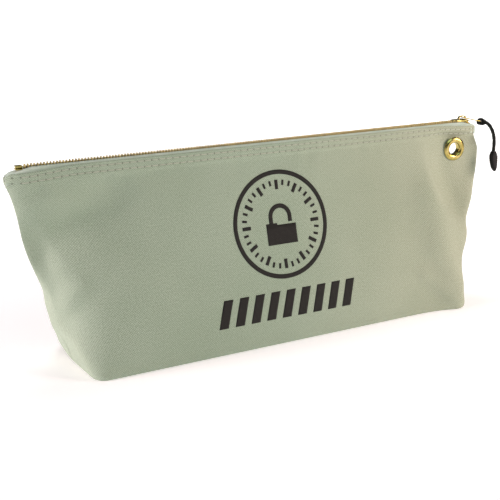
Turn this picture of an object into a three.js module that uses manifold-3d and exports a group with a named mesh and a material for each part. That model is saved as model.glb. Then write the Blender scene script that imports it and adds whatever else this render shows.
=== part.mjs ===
// Large canvas zipper bag with a boxed base: two panels meet in side seams, a brass zipper closes
// the mouth, and a corded pull hangs from its slider. Millimetres, +Z up. The origin is the centre
// of the base's underside, X runs along the mouth and the front faces -Y.
import * as THREE from "three";
import { mergeVertices } from "three/addons/utils/BufferGeometryUtils.js";
import Module from "manifold-3d";

const wasm = await Module();
wasm.setup();

// ---- driving dimensions ----
const TOP_LENGTH = 457;
const BASE_LENGTH = 360.5;
const BASE_DEPTH = 96.4;
const HEM_TOP = 162.2;
const MOUTH_DEPTH = 14.4; // over the outsides of the two hems
const SLOPE_TOP = 150; // the panels lean in up to here and stand upright above it
const SEAM_LEVEL = 159; // the height at which the ends would close to a point
const FOLD_RADIUS = 6.5;
const CANVAS = 0.9;
const GAP = 0.3;
const HEM_DEPTH = 10;
const END_SHARE = 0.34; // of the depth that is left where the left end closes to an edge
const END_LENGTH = 55; // over which it closes
const CLOSING_START = [30, 104]; // the levels between which the closing comes in
const CLOSING_END = [126, 146]; // and between which it goes again below the hem
const END_STRETCH = [120, 200]; // the distances from the middle between which the bows come in
const BOW_FOOT = 12; // the bows come in up to here
const BOW_TOP = [138, 160]; // and go at the right end between these levels
// How far the ends bow out: by how much, at what level and over what height.
const LEFT_BOWS = [[4, 88, 28], [6.5, 38, 22]];
const RIGHT_BOWS = [[9, 116, 27], [6.5, 90, 16], [12.5, 56, 28], [-5, 9, 13]];
const CORNER_DROOP = 3.2; // the hem sinks towards the mouth's corners
const TIP_DROOP = 2.4; // and rounds off at the very corner
const TAPE = 0.7;
const TAPE_TOP = 163;
const TAPE_LEG_BOTTOM = 155;
const PITCH = 2.54;
const TOOTH_WIDTH = 0.95;
const CHAIN_LEFT = -213.2;
const CHAIN_RIGHT = 212;
const CHAIN_HALF = 3;
const TEETH_BOTTOM = 161.4;
const TEETH_TOP = 163.9;
const STITCH_ROWS = [3, 7.6]; // below the hem's edge
const THREAD = 0.5;
const THREAD_REACH = 222; // the hem's stitching stops short of the corners
const GROMMET = new THREE.Vector3(199, 0, 140);
const GROMMET_OUTER = 11;
const GROMMET_BORE = 5.4;
const PINCH_HALF = 1.5; // half the thickness of the two panels where the grommet clamps them
const PINCH_FLAT = 11.5;
const PINCH_SPREAD = 22; // how far past the grommet its clamp still draws the panels in
const PINCH_TRAIL = 0.6; // the clamp's hollow trails on below the grommet
const CORNER_SWING = 6; // the clamped corner stands forward of the mouth's line
const LEFT_LEAN = [7, 108, 22]; // how far back the left end leans, at what level, over what height
const PULL_PIVOT = new THREE.Vector3(211.8, 0, 166.8);
const TAB_SLOPE = THREE.MathUtils.degToRad(14);
const TAB_LENGTH = 25.2;
const TAB_THICK = 0.9;
const LOOP_CENTRE = 24.6; // along the tab, where the cord loops round its tip
const CORD_DIAMETER = 3.2;
const CORD_ROUTE = [
  [236.3, -3.1, 160.7],
  [237.0, -6.0, 160.4],
  [237.3, -9.0, 159.2],
  [236.9, -13.0, 156.4],
  [236.0, -17.0, 152.4],
  [234.8, -20.2, 147.2],
  [233.8, -21.6, 141.6],
  [233.2, -22.0, 135.2],
];
const GRIP_TOP = new THREE.Vector3(233.3, -22, 134.6);
const GRIP_HEIGHT = 18;
const GRIP_THICKNESS = 5;

// Sizes that follow from the ones above, and the levels and stations at which the form is cut.
const FAR = 400; // beyond the whole bag
const NEARBY = 20; // beyond both skins at the grommet
const PANEL_BOTTOM = CANVAS + GAP;
const PANEL_LEVELS = [
  PANEL_BOTTOM, 40, 80, 90, 100, 108, 115, 126, 134, 143, 149.5, 152.2, 155, 159, HEM_TOP,
];
const SEAM_TOP = 134; // the side seams' thread stops short of the grommet and the hem
const SPLIT_X = [-240, 150, 165, 180, 190, 199, 208, 217, 226, 240];
const STATIONS = [-0.96, -0.88, -0.6, -0.2, 0.2, 0.6, 0.74, 0.8, 0.85, 0.9, 0.94, 0.98];
const ARC_STEPS = 3;
const FLANGE_OUT = MOUTH_DEPTH / 2 - 2 * CANVAS - GAP - 0.1;
const TAPE_LOW = TAPE_TOP - TAPE;
const TAPE_REACH = 224.5;
const BEAD_CLEAR = CHAIN_HALF + GAP;
const TOOTH_BASE = 1.7;
const TOOTH_TIP = -0.8; // past the middle, between the other row's teeth
const BOTTOM_STOP = { left: -219.3, right: -214, half: 2.6, web: 0.6, thick: 0.9 };
const TOP_STOP = { left: 216.9, right: 219.1, near: 0.4, out: 3.4, web: 0.5, top: 0.6, foot: 0.8 };
const SLIDER_LEFT = 200.5;
const SLIDER_RIGHT = 216;
const SLIDER_CUT = 1.6; // the cut corners of its plates
const PLATE_LOW = TEETH_TOP + GAP;
const PLATE_HIGH = PLATE_LOW + 0.8;
const UNDER_HIGH = TEETH_BOTTOM - GAP;
const UNDER_LOW = UNDER_HIGH - 0.9;
const WALL_IN = CHAIN_HALF + 0.4;
const CROWN = { reach: 4.3, strap: 0.8, round: 1.6, rise: 1.6, half: 1.2 };
const TAB = { bar: 0.45, hinge: 2.8, waist: 2, tip: 2.4, slotEnd: 6, slotHalf: 1.6, eye: 1.4, round: 1.4 };
const HITCH = { radius: 2.2, tube: 1 };
const EYELET = { wall: 0.5, lip: 7.6, lipThick: 0.8, rise: 1.9, shoulder: 1.2 };
const WASHER_THICK = 0.7;

// ---- materials ----
const finish = (color, roughness, metalness = 0) => () =>
  new THREE.MeshStandardMaterial({ color, roughness, metalness });
const canvas = finish(0xb3bda4, 0.9);
const tapeCloth = finish(0xc9d6c9, 0.85);
const thread = finish(0xbfc9b4, 0.8);
const toothBrass = finish(0xa8873c, 0.35, 1);
const polishedBrass = finish(0xd2b35a, 0.2, 1);
const blackCord = finish(0x141614, 0.8);
const blackRubber = finish(0x0d100f, 0.6);

// ---- solids ----
const bag = new THREE.Group();

function solid(geometry) {
  const bare = geometry.index ? geometry.toNonIndexed() : geometry.clone();
  bare.deleteAttribute("normal");
  bare.deleteAttribute("uv");
  const merged = mergeVertices(bare, 1e-4);
  const vertProperties = new Float32Array(merged.attributes.position.array);
  const triVerts = new Uint32Array(merged.index.array);
  return new wasm.Manifold(new wasm.Mesh({ numProp: 3, vertProperties, triVerts }));
}

function geometryOf(manifold) {
  const mesh = manifold.getMesh();
  const geometry = new THREE.BufferGeometry();
  geometry.setAttribute("position", new THREE.BufferAttribute(mesh.vertProperties, 3));
  geometry.setIndex(new THREE.BufferAttribute(mesh.triVerts, 1));
  return geometry;
}

function add(name, material, shape, parent = bag) {
  const geometry = shape.isBufferGeometry ? shape : geometryOf(shape);
  const mesh = new THREE.Mesh(geometry, material());
  mesh.name = name;
  parent.add(mesh);
  return mesh;
}

// A box between two corners.
function box(low, high) {
  const size = high.map((value, i) => value - low[i]);
  const centre = high.map((value, i) => (value + low[i]) / 2);
  return solid(new THREE.BoxGeometry(...size).translate(...centre));
}

// A flat outline of [x, y] points, extruded in Z from low to high.
function slab(points, low, high) {
  const shape = new THREE.Shape(points.map(([x, y]) => new THREE.Vector2(x, y)));
  const geometry = new THREE.ExtrudeGeometry(shape, { depth: high - low, bevelEnabled: false });
  return solid(geometry.translate(0, 0, low));
}

// A closed solid through level rings that run anticlockwise, stacked from the lowest up. Each
// ring's first half faces its second half, so its ends are closed by strips between the two.
function loft(rings) {
  const count = rings[0].length;
  const positions = rings.flat().flatMap((point) => point.toArray());
  const top = (rings.length - 1) * count;
  const index = [];
  for (let level = 0; level < top; level += count) {
    for (let i = 0; i < count; i++) {
      const next = (i + 1) % count;
      const below = [level + i, level + next];
      const above = [level + count + i, level + count + next];
      index.push(below[0], below[1], above[1], below[0], above[1], above[0]);
    }
  }
  for (let i = 0; i < count / 2 - 1; i++) {
    const facing = count - 1 - i;
    for (const [a, b, c] of [[i, i + 1, facing - 1], [i, facing - 1, facing]]) {
      index.push(c, b, a, top + a, top + b, top + c);
    }
  }
  const geometry = new THREE.BufferGeometry();
  geometry.setAttribute("position", new THREE.Float32BufferAttribute(positions, 3));
  geometry.setIndex(index);
  return solid(geometry);
}

// ---- the bag's outer surface ----
const smooth = (from, to, value) => THREE.MathUtils.smoothstep(value, from, to);

function halfLength(z) {
  return THREE.MathUtils.lerp(BASE_LENGTH / 2, TOP_LENGTH / 2, Math.min(z / SEAM_LEVEL, 1));
}

function halfDepth(z) {
  const lean = (BASE_DEPTH / 2 - MOUTH_DEPTH / 2) / SLOPE_TOP;
  return Math.max(BASE_DEPTH / 2 - lean * z, MOUTH_DEPTH / 2);
}

// How far the grommet draws the two panels together at a point of the panel.
function pinchAt(x, z) {
  const across = (x - GROMMET.x) * (x > GROMMET.x ? 0.5 : 1);
  const rise = (z - GROMMET.z) * (z < GROMMET.z ? PINCH_TRAIL : 1);
  const past = Math.max(Math.hypot(across, rise) - PINCH_FLAT, 0);
  return Math.exp(-((past / PINCH_SPREAD) ** 2)) * (1 - smooth(151.5, 158.5, z));
}

function swingAt(x, z) {
  const right = CORNER_SWING * smooth(150, 226, x) * smooth(40, 122, z) * (1 - smooth(140, 157, z));
  const [far, level, height] = LEFT_LEAN;
  return right - far * smooth(90, 190, -x) * Math.exp(-(((z - level) / height) ** 2));
}

function droopAt(x, z) {
  const reach = Math.abs(x);
  const fall = CORNER_DROOP * smooth(170, 222, reach) + TIP_DROOP * smooth(223, 228.5, reach);
  return fall * smooth(120, HEM_TOP, z);
}

// Between its gusset and the hem, the left end closes towards the side seam.
function endTaper(x, z) {
  const inside = THREE.MathUtils.clamp((halfLength(z) + x) / END_LENGTH, 0, 1);
  const closing = END_SHARE + (1 - END_SHARE) * (1 - (1 - inside) ** 2) ** 0.8;
  return 1 - smooth(...CLOSING_START, z) * (1 - smooth(...CLOSING_END, z)) * (1 - closing);
}

function bowSum(bows, z) {
  return bows.reduce((sum, [far, level, height]) => {
    return sum + far * Math.exp(-(((z - level) / height) ** 2));
  }, 0);
}

// How far the ends stand out past the plain form's straight slopes.
function bowAt(x, z) {
  const left = bowSum(LEFT_BOWS, z) * smooth(...END_STRETCH, -x);
  const right = bowSum(RIGHT_BOWS, z) * smooth(...END_STRETCH, x) * (1 - smooth(...BOW_TOP, z));
  return smooth(PANEL_BOTTOM, BOW_FOOT, z) * (right - left);
}

// Moves a point of the plain tapered form to its place on the real bag.
function settle(x, y, z, inset) {
  const depth = halfDepth(z);
  const along = x + bowAt(x, z);
  const pinch = 1 - pinchAt(along, z) * (1 - PINCH_HALF / depth);
  const narrow = Math.min(endTaper(x, z), pinch);
  const inner = depth - inset;
  const scale = narrow - (inset * (1 - narrow)) / inner;
  return new THREE.Vector3(along, y * scale - swingAt(along, z), z - droopAt(along, z));
}

// One level of the tapered form, less an inset, anticlockwise from the right-hand end's back.
function ring(z, inset) {
  const a = halfLength(z) - inset;
  const b = halfDepth(z) - inset;
  const r = FOLD_RADIUS - inset;
  const points = [];
  const arc = (cx, cy, start) => {
    for (let i = 0; i <= ARC_STEPS; i++) {
      const angle = start + (i / ARC_STEPS) * (Math.PI / 2);
      points.push([cx + r * Math.cos(angle), cy + r * Math.sin(angle)]);
    }
  };
  arc(a - r, b - r, 0);
  STATIONS.toReversed().forEach((part) => points.push([part * (a - r), b]));
  arc(r - a, b - r, Math.PI / 2);
  arc(r - a, r - b, Math.PI);
  STATIONS.forEach((part) => points.push([part * (a - r), -b]));
  arc(a - r, r - b, 1.5 * Math.PI);
  return points.map(([x, y]) => settle(x, y, z, inset));
}

// One skin of the bag between two insets from its outer surface, through the given levels.
function skin(levels, outset, inset) {
  const over = 0.5;
  const outer = loft(levels.map((z) => ring(z, outset)));
  const reach = [levels[0] - over, ...levels.slice(1, -1), levels.at(-1) + over];
  return outer.subtract(loft(reach.map((z) => ring(z, inset))));
}

// All space in front of the bag's middle surface (side -1) or behind it (side 1), less an edge.
function half(side, edge) {
  const levels = [-FAR, ...PANEL_LEVELS.slice(1), FAR];
  const rings = levels.map((z) => {
    const split = SPLIT_X.map((x) => new THREE.Vector3(x, side * edge - swingAt(x, z), z));
    const far = SPLIT_X.map((x) => new THREE.Vector3(x, side * FAR, z)).toReversed();
    return side > 0 ? [...split, ...far] : [...split, ...far].toReversed();
  });
  return loft(rings);
}

// ---- the place and lean of the grommet ----
const grommetPlace = settle(GROMMET.x, 0, GROMMET.z, 0);
const grommetTurn = -Math.atan(swingSlope(GROMMET.x, GROMMET.z));

function swingSlope(x, z) {
  const step = 2;
  return (swingAt(x + step, z) - swingAt(x - step, z)) / (2 * step);
}

// A solid of revolution about the grommet's axis; its profile is [radius, distance to the front].
function aboutGrommet(profile, segments) {
  const points = profile.map(([radius, forward]) => new THREE.Vector2(radius, forward));
  const geometry = new THREE.LatheGeometry(points, segments);
  geometry.rotateX(Math.PI).rotateZ(grommetTurn);
  return geometry.translate(grommetPlace.x, grommetPlace.y, grommetPlace.z);
}

function disc(radius, low, high, segments = 32) {
  return solid(aboutGrommet([[0, low], [radius, low], [radius, high], [0, high]], segments));
}

// ---- canvas ----
function panelSkin() {
  const hemBottom = HEM_TOP - HEM_DEPTH;
  const body = skin(PANEL_LEVELS, 0, CANVAS);
  const fold = skin(PANEL_LEVELS.filter((z) => z >= hemBottom), CANVAS / 2, 2 * CANVAS);
  const bore = disc(GROMMET_BORE + 1, -NEARBY, NEARBY);
  const seats = [
    disc(GROMMET_OUTER + GAP, PINCH_HALF, NEARBY),
    disc(GROMMET_OUTER + GAP, -NEARBY, -PINCH_HALF),
  ];
  return seats.reduce((rest, seat) => rest.subtract(seat), body.add(fold).subtract(bore));
}

function makeCanvas() {
  const whole = panelSkin();
  add("front_panel", canvas, whole.intersect(half(-1, GAP / 2)));
  add("back_panel", canvas, whole.intersect(half(1, GAP / 2)));
  add("base_panel", canvas, loft([ring(0, 0), ring(CANVAS, 0)]));
}

// ---- thread ----
function makeThread() {
  const along = box([-THREAD_REACH, -FAR, 0], [THREAD_REACH, FAR, FAR]);
  const sides = [["front", half(-1, GAP)], ["back", half(1, GAP)]];
  const clear = disc(GROMMET_OUTER + 2 * GAP, -NEARBY, NEARBY);
  for (const [row, name] of ["upper", "lower"].entries()) {
    const z = HEM_TOP - STITCH_ROWS[row];
    const band = skin([z - THREAD / 2, z + THREAD / 2], -GAP - THREAD, -GAP).subtract(clear);
    for (const [side, space] of sides) {
      add(`${side}_hem_stitch_${name}`, thread, band.intersect(space).intersect(along));
    }
  }
  add("left_side_seam_thread", thread, seamThread(-1));
  add("right_side_seam_thread", thread, seamThread(1));
  const foot = [PANEL_BOTTOM, PANEL_BOTTOM + THREAD];
  add("base_seam_thread", thread, skin(foot, CANVAS + GAP, CANVAS + GAP + THREAD));
}

// The seam's thread runs up the inside of one end, along the line where the two panels meet.
function seamThread(side) {
  const breadth = 0.4;
  const foot = 4;
  const levels = [foot, ...PANEL_LEVELS.filter((z) => z > foot && z <= SEAM_TOP)];
  const rings = levels.map((z) => {
    const seam = settle(side * (halfLength(z) - CANVAS - 3 * GAP), 0, z, 0);
    const near = Math.max(seam.x, seam.x - side * THREAD);
    const far = Math.min(seam.x, seam.x - side * THREAD);
    const corners = [[far, -breadth], [near, -breadth], [near, breadth], [far, breadth]];
    return corners.map(([x, y]) => new THREE.Vector3(x, seam.y + y, seam.z));
  });
  return loft(rings);
}

// ---- zipper tapes, teeth and stops ----
// The inner edge of a tape, in steps from left to right: [x where a stretch ends, its distance out].
const TAPE_EDGE = [
  [BOTTOM_STOP.left - GAP, 0.2],
  [BOTTOM_STOP.right + GAP, BOTTOM_STOP.web + GAP],
  [CHAIN_RIGHT + GAP, BEAD_CLEAR],
  [TAPE_REACH, 1.2],
];

function tape(side) {
  const outline = [[-TAPE_REACH, FLANGE_OUT]];
  let from = -TAPE_REACH;
  for (const [to, out] of TAPE_EDGE) {
    outline.push([from, out], [to, out]);
    from = to;
  }
  outline.push([TAPE_REACH, FLANGE_OUT]);
  const flange = slab(outline.map(([x, y]) => [x, side * y]), TAPE_LOW, TAPE_TOP);
  const outer = MOUTH_DEPTH / 2 - FLANGE_OUT;
  const legLevels = [TAPE_LEG_BOTTOM, SEAM_LEVEL, TAPE_TOP];
  const legs = skin(legLevels, outer, outer + TAPE);
  const along = box([-TAPE_REACH, -FAR, 0], [TAPE_REACH, FAR, FAR]);
  return legs.intersect(along).intersect(half(side, 1)).add(flange);
}

// One row: a bead with a tooth clamped on it at every pitch, shifted by half a pitch at the back.
function teethRow(side) {
  const inset = 0.2; // of the first tooth from the chain's end
  const count = Math.floor((CHAIN_RIGHT - CHAIN_LEFT) / PITCH);
  const outline = [[CHAIN_LEFT, CHAIN_HALF], [CHAIN_LEFT, TOOTH_BASE]];
  for (let i = 0; i < count; i++) {
    const left = CHAIN_LEFT + (i + (side > 0 ? 0.5 : 0)) * PITCH + inset;
    const right = left + TOOTH_WIDTH;
    outline.push([left, TOOTH_BASE], [left, TOOTH_TIP], [right, TOOTH_TIP], [right, TOOTH_BASE]);
  }
  outline.push([CHAIN_RIGHT, TOOTH_BASE], [CHAIN_RIGHT, CHAIN_HALF]);
  return slab(outline.map(([x, y]) => [x, side * y]), TEETH_BOTTOM, TEETH_TOP);
}

// A box across the mouth on one side of the middle.
function block(side, [left, right], [near, out], [low, high]) {
  const [y0, y1] = side < 0 ? [-out, -near] : [near, out];
  return box([left, y0, low], [right, y1, high]);
}

// A clip bent round the inner edge of one tape, just past the slider.
function topStop(side) {
  const { left, right, near, out, web, top, foot } = TOP_STOP;
  const high = TAPE_TOP + GAP + top;
  const low = TAPE_LOW - GAP - foot;
  const plates = [
    block(side, [left, right], [near, out], [TAPE_TOP + GAP, high]),
    block(side, [left, right], [near, out], [low, TAPE_LOW - GAP]),
  ];
  const back = block(side, [left, right], [near, near + web], [low, high]);
  return plates.reduce((clip, plate) => clip.add(plate), back);
}

function bottomStop() {
  const { left, right, half: wide, web, thick } = BOTTOM_STOP;
  const low = TAPE_LOW - GAP;
  const high = TAPE_TOP + GAP;
  const top = box([left, -wide, high], [right, wide, high + thick]);
  const bottom = box([left, -wide, low - thick], [right, wide, low]);
  return top.add(bottom).add(box([left, -web, low - thick / 2], [right, web, high + thick / 2]));
}

function makeZipper() {
  for (const [side, name] of [[-1, "front"], [1, "back"]]) {
    add(`${name}_zip_tape`, tapeCloth, tape(side));
    add(`${name}_teeth`, toothBrass, teethRow(side));
    add(`${name}_top_stop`, polishedBrass, topStop(side));
  }
  add("bottom_stop", polishedBrass, bottomStop());
}

// ---- slider ----
// A slider plate: narrow where the closed chain leaves it, wide at the mouth.
function sliderPlate(tail, mouth, low, high) {
  const waist = SLIDER_LEFT + 7;
  const flare = 3;
  const outline = [
    [SLIDER_LEFT, tail - SLIDER_CUT],
    [SLIDER_LEFT + SLIDER_CUT, tail],
    [waist, tail],
    [waist + flare, mouth],
    [SLIDER_RIGHT - SLIDER_CUT, mouth],
    [SLIDER_RIGHT, mouth - SLIDER_CUT],
  ];
  const mirrored = outline.toReversed().map(([x, y]) => [x, -y]);
  return slab([...mirrored, ...outline], low, high);
}

function sliderBody() {
  const tail = 4.2;
  const underTail = 3.8;
  const overlap = 0.2; // of each wall with its plate
  const along = [SLIDER_LEFT + SLIDER_CUT, SLIDER_RIGHT - SLIDER_CUT];
  const upper = [TAPE_TOP + GAP, PLATE_LOW + overlap];
  const lower = [UNDER_HIGH - overlap, TAPE_LOW - GAP];
  const walls = [-1, 1].flatMap((side) => [
    block(side, along, [WALL_IN, tail], upper),
    block(side, along, [WALL_IN, underTail], lower),
  ]);
  const wedge = [[212.6, 0], [213.6, -0.9], [215.6, -0.5], [215.6, 0.5], [213.6, 0.9]];
  const post = slab(wedge, UNDER_LOW, PLATE_HIGH);
  const plates = sliderPlate(tail, 5.2, PLATE_LOW, PLATE_HIGH).add(
    sliderPlate(underTail, 3.9, UNDER_LOW, UNDER_HIGH),
  );
  return [...walls, post].reduce((body, part) => body.add(part), plates);
}

// The bridge over the slider that holds the pull tab.
function sliderCrown() {
  const { reach, strap, round, rise, half: breadth } = CROWN;
  const low = PLATE_HIGH + GAP;
  const high = PULL_PIVOT.z + rise;
  const shape = new THREE.Shape();
  shape.moveTo(-reach, low);
  shape.lineTo(-reach, high - round);
  shape.quadraticCurveTo(-reach, high, round - reach, high);
  shape.lineTo(reach - round, high);
  shape.quadraticCurveTo(reach, high, reach, high - round);
  shape.lineTo(reach, low);
  shape.lineTo(reach - strap, low);
  shape.lineTo(reach - strap, high - strap);
  shape.lineTo(strap - reach, high - strap);
  shape.lineTo(strap - reach, low);
  const options = { depth: 2 * breadth, bevelEnabled: false, curveSegments: 4 };
  const geometry = new THREE.ExtrudeGeometry(shape, options);
  return geometry.rotateX(Math.PI / 2).translate(PULL_PIVOT.x, breadth, 0);
}

function makeSlider() {
  add("slider_body", polishedBrass, sliderBody());
  add("slider_crown", polishedBrass, sliderCrown());
}

// ---- pull tab, cord and grip ----
function pullTab() {
  const { bar, hinge, waist, tip, slotEnd, slotHalf, eye, round } = TAB;
  const edge = [[7, hinge], [11, waist], [17, waist], [20.5, tip], [TAB_LENGTH - round, tip]];
  const shape = new THREE.Shape();
  shape.moveTo(-bar, -hinge);
  edge.forEach(([x, y]) => shape.lineTo(x, -y));
  shape.quadraticCurveTo(TAB_LENGTH, -tip, TAB_LENGTH, 0);
  shape.quadraticCurveTo(TAB_LENGTH, tip, TAB_LENGTH - round, tip);
  edge.toReversed().slice(1).forEach(([x, y]) => shape.lineTo(x, y));
  shape.lineTo(-bar, hinge);
  const slot = new THREE.Path();
  slot.moveTo(bar, -slotHalf);
  slot.lineTo(bar, slotHalf);
  slot.lineTo(slotEnd, slotHalf);
  slot.lineTo(slotEnd, -slotHalf);
  const eyeX = LOOP_CENTRE - HITCH.radius;
  shape.holes.push(slot, new THREE.Path().absarc(eyeX, 0, eye, 0, 2 * Math.PI, true));
  const options = { depth: TAB_THICK, bevelEnabled: false, curveSegments: 6 };
  return new THREE.ExtrudeGeometry(shape, options).translate(0, 0, -TAB_THICK / 2);
}

// The cord's loop through the tab's eye and round its tip.
function cordHitch() {
  const geometry = new THREE.TorusGeometry(HITCH.radius, HITCH.tube, 8, 16);
  return geometry.rotateX(Math.PI / 2).translate(LOOP_CENTRE, 0, 0);
}

function pullCord() {
  const path = new THREE.CatmullRomCurve3(CORD_ROUTE.map((point) => new THREE.Vector3(...point)));
  const section = new THREE.Shape().absarc(0, 0, CORD_DIAMETER / 2, 0, 2 * Math.PI);
  return new THREE.ExtrudeGeometry(section, { steps: 14, extrudePath: path, curveSegments: 4 });
}

// The moulded grip: wide shoulders at the cord, tapering to a round foot, seen from the front.
function cordGrip() {
  const shape = new THREE.Shape();
  shape.moveTo(-4, -1);
  shape.lineTo(-3.6, -6);
  shape.quadraticCurveTo(-2.6, -12, 0.6, -16);
  shape.quadraticCurveTo(2.2, -GRIP_HEIGHT, 3.4, -GRIP_HEIGHT + 1.4);
  shape.quadraticCurveTo(4.6, -13, 4.6, -4);
  shape.quadraticCurveTo(4.4, -1.4, 2, -0.3);
  shape.lineTo(-2.6, -0.3);
  const options = { depth: GRIP_THICKNESS, bevelEnabled: false, curveSegments: 5 };
  const geometry = new THREE.ExtrudeGeometry(shape, options);
  geometry.rotateX(Math.PI / 2).translate(0, GRIP_THICKNESS / 2, 0);
  return geometry.translate(GRIP_TOP.x, GRIP_TOP.y, GRIP_TOP.z);
}

function makePull() {
  const hung = new THREE.Group();
  hung.position.copy(PULL_PIVOT);
  hung.rotation.y = TAB_SLOPE;
  bag.add(hung);
  add("pull_tab", polishedBrass, pullTab(), hung);
  add("cord_hitch", blackCord, cordHitch(), hung);
  add("pull_cord", blackCord, pullCord());
  add("cord_grip", blackRubber, cordGrip());
}

// ---- grommet ----
function makeGrommet() {
  const front = PINCH_HALF + GAP;
  const inner = GROMMET_BORE;
  const outer = GROMMET_OUTER;
  const wall = inner + EYELET.wall;
  const washerBack = -front - WASHER_THICK;
  const washer = [
    [wall + GAP, -front],
    [wall + GAP, washerBack],
    [outer, washerBack],
    [outer, -front],
    [wall + GAP, -front],
  ];
  const lipFront = washerBack - GAP;
  const lipBack = lipFront - EYELET.lipThick;
  const eyelet = [
    [inner, lipBack],
    [EYELET.lip, lipBack],
    [EYELET.lip, lipFront],
    [wall, lipFront],
    [wall, front],
    [outer, front],
    [outer - 0.8, front + EYELET.shoulder],
    [outer - 3, front + EYELET.rise],
    [inner + 0.8, front + EYELET.shoulder],
    [inner, front],
    [inner, lipBack],
  ];
  add("grommet_eyelet", polishedBrass, aboutGrommet(eyelet, 28));
  add("grommet_washer", polishedBrass, aboutGrommet(washer, 28));
}

makeCanvas();
makeThread();
makeZipper();
makeSlider();
makePull();
makeGrommet();

export default bag;
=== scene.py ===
"""Looks of the zippered canvas bag: cloth, stitching, brass zipper, pull cord, grommet and print.

Lengths are in millimetres until a mesh is made, which turns them into metres. The front of the bag
faces -Y, the mouth runs along X and the bag stands on Z = 0.
"""
import math
import random
from contextlib import contextmanager

import bmesh
import bpy
import numpy as np
from mathutils import Matrix, Vector


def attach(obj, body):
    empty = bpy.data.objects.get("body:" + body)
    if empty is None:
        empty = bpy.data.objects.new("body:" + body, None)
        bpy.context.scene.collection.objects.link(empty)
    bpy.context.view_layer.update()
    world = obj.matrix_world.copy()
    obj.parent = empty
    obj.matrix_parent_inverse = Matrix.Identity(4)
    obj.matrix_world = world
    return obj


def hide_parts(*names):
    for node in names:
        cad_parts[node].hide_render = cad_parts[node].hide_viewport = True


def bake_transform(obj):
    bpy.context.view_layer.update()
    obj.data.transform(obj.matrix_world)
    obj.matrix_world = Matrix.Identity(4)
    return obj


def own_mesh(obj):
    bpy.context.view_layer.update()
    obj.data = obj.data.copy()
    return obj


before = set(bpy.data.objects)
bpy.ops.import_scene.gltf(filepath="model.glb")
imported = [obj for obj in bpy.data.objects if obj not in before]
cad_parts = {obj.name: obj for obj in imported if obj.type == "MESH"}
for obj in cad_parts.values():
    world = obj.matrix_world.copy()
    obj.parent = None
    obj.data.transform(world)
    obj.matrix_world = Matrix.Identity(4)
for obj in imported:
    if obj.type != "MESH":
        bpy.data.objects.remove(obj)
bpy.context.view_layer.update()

MM = 0.001
TURN = 2 * math.pi

# ---- sizes shared with the CAD part, in millimetres ----
BASE_LENGTH = 360.5
TOP_LENGTH = 457
BASE_DEPTH = 96.4
SEAM_LEVEL = 159
SLOPE_TOP = 150
HEM_TOP = 162.2
MOUTH_DEPTH = 14.4
CANVAS = 0.9
FOOT_LEVEL = 0.1
PANEL_HOLE = 7.5
HEM_THREAD = 0.4
STITCH_GAP = 0.35
GROMMET = (199, 140)
PULL_PIVOT = (211.8, 166.8)
TAB_SLOPE = math.radians(14)
CORD_ROUTE = [
    (236.3, -3.1, 160.7), (237.0, -6.0, 160.4), (237.3, -9.0, 159.2), (236.9, -13.0, 156.4),
    (236.0, -17.0, 152.4), (234.8, -20.2, 147.2), (233.8, -21.6, 141.6), (233.2, -22.0, 135.2),
]
CORD_DIAMETER = 3.2
GRIP_TOP = (233.3, -22.0, 134.6)


# ---- small helpers ----
def smooth(low, high, value):
    t = np.clip((np.asarray(value, float) - low) / (high - low), 0, 1)
    return t * t * (3 - 2 * t)


def bump(centre, width, value):
    """A smooth hill of height 1 around centre."""
    return np.exp(-(((np.asarray(value, float) - centre) / width) ** 2))


def lerp(a, b, t):
    return a + (b - a) * t


def make_object(name, vertices, faces, material, smooth_shade=True):
    """A mesh object from vertices in millimetres."""
    mesh = bpy.data.meshes.new(name)
    mesh.from_pydata((np.asarray(vertices, float) * MM).tolist(), [], [list(f) for f in faces])
    mesh.validate()
    mesh.update()
    obj = bpy.data.objects.new(name, mesh)
    bpy.context.scene.collection.objects.link(obj)
    obj.data.materials.append(material)
    if smooth_shade:
        mesh.shade_smooth()
    return obj


def apply_modifiers(obj):
    depsgraph = bpy.context.evaluated_depsgraph_get()
    mesh = bpy.data.meshes.new_from_object(obj.evaluated_get(depsgraph))
    obj.modifiers.clear()
    obj.data = mesh
    return obj


def grid_faces(rows, columns, close_rows=False, close_columns=False):
    """Quads over a grid of vertices stored row by row."""
    faces = []
    for i in range(rows if close_rows else rows - 1):
        for j in range(columns if close_columns else columns - 1):
            k, m = (i + 1) % rows, (j + 1) % columns
            faces.append((i * columns + j, i * columns + m, k * columns + m, k * columns + j))
    return faces


def rod_faces(rows, around):
    """The skin of a rod made of rings of vertices, with both its ends closed."""
    faces = grid_faces(rows, around, close_columns=True)
    faces.append(tuple(range(around)))
    faces.append(tuple(reversed(range((rows - 1) * around, rows * around))))
    return faces


def flipped(faces):
    return [tuple(reversed(face)) for face in faces]


@contextmanager
def editing(obj):
    """The object's mesh as an open bmesh, written back at the end."""
    edit = bmesh.new()
    edit.from_mesh(obj.data)
    yield edit
    edit.to_mesh(obj.data)
    edit.free()


def piece(obj, body, slot, *nodes):
    """Rides a piece on its body and hides the CAD nodes it stands for; its slot is not used."""
    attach(obj, body)
    if nodes:
        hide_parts(*nodes)
    return obj


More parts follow.
